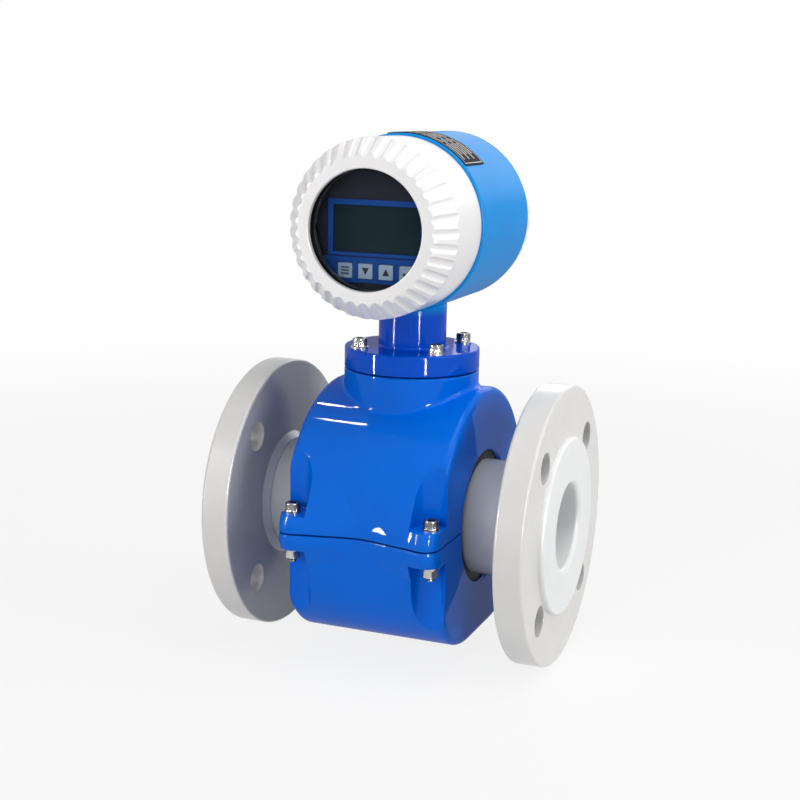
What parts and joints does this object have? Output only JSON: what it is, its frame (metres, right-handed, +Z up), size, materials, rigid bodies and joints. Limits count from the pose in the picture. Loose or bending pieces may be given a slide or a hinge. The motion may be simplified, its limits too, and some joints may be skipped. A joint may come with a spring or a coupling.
{
  "type": "electromagnetic flow meter",
  "caption": "Flanged electromagnetic flow meter with a lined bore, a clamped blue housing and a round converter head with a windowed display.",
  "frame": {"origin": "on the axis of the bore, midway between the two sealing faces", "axes": "+X along the bore in the direction of flow, +Z up through the neck, the display faces -Y"},
  "size_m": [0.2, 0.1712, 0.3061],
  "materials": {
    "housing_blue": "gloss",
    "cover_white": "satin",
    "flange_grey": "gloss",
    "liner_white": "satin",
    "stainless": "satin",
    "electrical_steel": "satin",
    "copper": "satin",
    "rubber_black": "matt",
    "clear_glass": "polished",
    "panel_black": "gloss",
    "panel_blue": "gloss",
    "key_grey": "satin",
    "lcd_dark": "gloss",
    "board_green": "satin",
    "part_black": "matt",
    "part_yellow": "matt",
    "bush_white": "matt",
    "terminal_green": "satin",
    "plate_grey": "satin"
  },
  "bodies": {
    "meter_body": {"measuring_tube": "flange_grey", "inlet_flange": "flange_grey", "outlet_flange": "flange_grey", "liner": "liner_white", "electrodes": "stainless", "electrode_bushes": "bush_white", "electrode_nuts": "stainless", "pole_core_upper": "electrical_steel", "pole_core_lower": "electrical_steel", "coil_upper": "copper", "coil_lower": "copper", "return_yoke": "electrical_steel", "housing_upper": "housing_blue", "housing_lower": "housing_blue", "housing_gasket": "rubber_black", "tube_seals": "rubber_black", "clamp_screws": "stainless", "clamp_washers": "stainless", "clamp_lock_washers": "stainless", "clamp_nuts": "stainless", "neck_gasket": "rubber_black", "neck_grommet": "rubber_black", "signal_cable": "part_black", "neck_screws": "stainless", "neck_washers": "stainless", "head_housing": "housing_blue", "gland_bodies": "part_black", "gland_nuts": "part_black", "gland_seals": "rubber_black", "nameplate": "plate_grey", "earth_screw": "stainless", "earth_washer": "stainless", "display_panel": "panel_black", "display_bezel": "panel_blue", "key_band": "panel_blue", "key_switches": "part_black", "lcd_module": "lcd_dark", "display_board": "board_green", "panel_posts": "stainless", "main_board": "board_green", "transformer": "part_yellow", "relay": "part_black", "capacitors": "part_black", "terminal_block": "terminal_green", "terminal_screws": "stainless"},
    "front_cover_travel": {"front_seal": "rubber_black"},
    "front_cover_turn": {"front_cover": "cover_white", "window_gasket": "rubber_black", "window_glass": "clear_glass", "glass_retainer": "part_black"},
    "rear_cover_travel": {"rear_seal": "rubber_black"},
    "rear_cover_turn": {"rear_cover": "cover_white"},
    "key_menu": {"key_menu": "key_grey"},
    "key_down": {"key_down": "key_grey"},
    "key_up": {"key_up": "key_grey"},
    "key_enter": {"key_enter": "key_grey"}
  },
  "joints": [
    {"name": "front_cover_slide", "type": "slide", "parent": "meter_body", "child": "front_cover_travel", "axis": [0, -1, 0], "range_m": [0, 0.012]},
    {"name": "front_cover_screw", "type": "hinge", "parent": "front_cover_travel", "child": "front_cover_turn", "pos_m": [0, 0, 0.172], "axis": [0, -1, 0], "range_deg": [0, 2160]},
    {"name": "rear_cover_slide", "type": "slide", "parent": "meter_body", "child": "rear_cover_travel", "axis": [0, 1, 0], "range_m": [0, 0.012]},
    {"name": "rear_cover_screw", "type": "hinge", "parent": "rear_cover_travel", "child": "rear_cover_turn", "pos_m": [0, 0, 0.172], "axis": [0, 1, 0], "range_deg": [0, 2160]},
    {"name": "key_menu_press", "type": "slide", "parent": "meter_body", "child": "key_menu", "axis": [0, 1, 0], "range_m": [0, 0.0005], "stiffness_N_per_m": 600, "springref_m": -0.001},
    {"name": "key_down_press", "type": "slide", "parent": "meter_body", "child": "key_down", "axis": [0, 1, 0], "range_m": [0, 0.0005], "stiffness_N_per_m": 600, "springref_m": -0.001},
    {"name": "key_up_press", "type": "slide", "parent": "meter_body", "child": "key_up", "axis": [0, 1, 0], "range_m": [0, 0.0005], "stiffness_N_per_m": 600, "springref_m": -0.001},
    {"name": "key_enter_press", "type": "slide", "parent": "meter_body", "child": "key_enter", "axis": [0, 1, 0], "range_m": [0, 0.0005], "stiffness_N_per_m": 600, "springref_m": -0.001}
  ],
  "couplings": [
    {"joint": "front_cover_slide", "follows": "front_cover_screw", "m_per_rad": 0.00031831},
    {"joint": "rear_cover_slide", "follows": "rear_cover_screw", "m_per_rad": 0.00031831}
  ]
}
